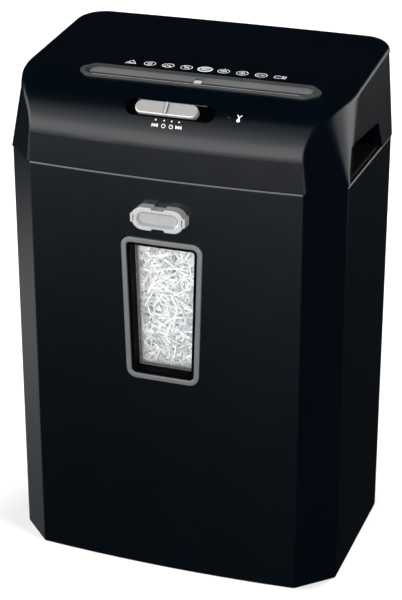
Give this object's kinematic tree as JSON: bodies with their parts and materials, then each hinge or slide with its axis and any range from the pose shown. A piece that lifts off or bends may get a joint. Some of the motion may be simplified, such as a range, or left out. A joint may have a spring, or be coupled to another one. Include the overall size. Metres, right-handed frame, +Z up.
{
  "type": "paper shredder",
  "caption": "Desk-side paper shredder: lift-off cutting head with geared cutter shafts, motor, slide control and paper sensor, on a bin with a clear window.",
  "frame": {"origin": "middle of the bin's foot, on the floor", "axes": "+X to the right and -Y to the front, seen by someone who stands before it; +Z up"},
  "size_m": [0.347, 0.2415, 0.5237],
  "materials": {
    "black_plastic": "satin black moulding with a fine grain",
    "inner_plastic": "matte black moulding",
    "silver_plastic": "silver painted plastic, satin",
    "grey_plastic": "mid grey moulding, satin",
    "clear_plastic": "clear, polished",
    "white_plastic": "white moulding",
    "lens_plastic": "red, translucent",
    "gear_plastic": "natural nylon",
    "board": "green laminate",
    "steel": "ground steel, light oil",
    "bronze": "sintered, matte",
    "motor_paint": "grey paint"
  },
  "bodies": {
    "bin": {"bin_shell": "black_plastic", "window_frame": "silver_plastic", "window_well": "black_plastic", "window_pane": "clear_plastic", "front_grip": "silver_plastic", "grip_pad": "silver_plastic"},
    "head": {"head_cover": "black_plastic", "head_base": "inner_plastic", "left_hand_cup": "black_plastic", "right_hand_cup": "black_plastic", "head_screws": "steel", "cord_gland": "black_plastic", "throat_bezel": "grey_plastic", "feed_guide": "grey_plastic", "feed_funnel": "inner_plastic", "sensor_pin": "steel", "sensor_switch": "inner_plastic", "slider_tray": "black_plastic", "mode_switch": "inner_plastic", "indicator_lens": "lens_plastic", "front_strippers": "inner_plastic", "rear_strippers": "inner_plastic", "tie_rods": "steel", "shaft_bushes": "bronze", "left_side_plate": "steel", "right_side_plate": "steel", "motor_housing": "motor_paint", "gear_plate": "steel", "gear_axles": "steel", "gear_posts": "steel", "interlock_switch": "inner_plastic", "control_board": "board", "board_parts": "board"},
    "control_slider": {"slider_knob": "silver_plastic"},
    "paper_sensor": {"sensor_lever": "white_plastic"},
    "front_cutter": {"front_cutter_shaft": "steel", "front_cutter_discs": "steel", "front_spacers": "steel", "front_sync_gear": "steel"},
    "rear_cutter": {"rear_cutter_shaft": "steel", "rear_cutter_discs": "steel", "rear_spacers": "steel", "rear_sync_gear": "steel", "drive_gear": "gear_plastic"},
    "second_gear": {"second_gear": "gear_plastic"},
    "first_gear": {"first_gear": "gear_plastic"},
    "motor_rotor": {"motor_shaft": "steel", "motor_pinion": "steel"}
  },
  "joints": [
    {"name": "head_lift", "type": "slide", "parent": "bin", "child": "head", "axis": [0, 0, 1], "range_m": [0, 0.12]},
    {"name": "slider_slide", "type": "slide", "parent": "head", "child": "control_slider", "axis": [1, 0, 0], "range_m": [-0.0085, 0.015]},
    {"name": "sensor_hinge", "type": "hinge", "parent": "head", "child": "paper_sensor", "pos_m": [0.0153, -0.046, 0.497], "axis": [1, 0, 0], "range_deg": [0, 25], "stiffness_Nm_per_rad": 0.002, "springref_deg": -9.74},
    {"name": "rear_spin", "type": "hinge", "parent": "head", "child": "rear_cutter", "pos_m": [0, -0.0475, 0.461], "axis": [1, 0, 0], "continuous": true},
    {"name": "front_spin", "type": "hinge", "parent": "head", "child": "front_cutter", "pos_m": [0, -0.0805, 0.461], "axis": [1, 0, 0], "continuous": true},
    {"name": "second_spin", "type": "hinge", "parent": "head", "child": "second_gear", "pos_m": [0, -0.01067, 0.47087], "axis": [1, 0, 0], "continuous": true},
    {"name": "first_spin", "type": "hinge", "parent": "head", "child": "first_gear", "pos_m": [0, 0.02133, 0.46522], "axis": [1, 0, 0], "continuous": true},
    {"name": "motor_spin", "type": "hinge", "parent": "head", "child": "motor_rotor", "pos_m": [0, 0.05253, 0.46961], "axis": [1, 0, 0], "continuous": true}
  ],
  "couplings": [
    {"joint": "front_spin", "follows": "rear_spin", "ratio": -1},
    {"joint": "second_spin", "follows": "rear_spin", "ratio": -2.5882},
    {"joint": "first_spin", "follows": "rear_spin", "ratio": 7.308},
    {"joint": "motor_spin", "follows": "rear_spin", "ratio": -19.774}
  ]
}
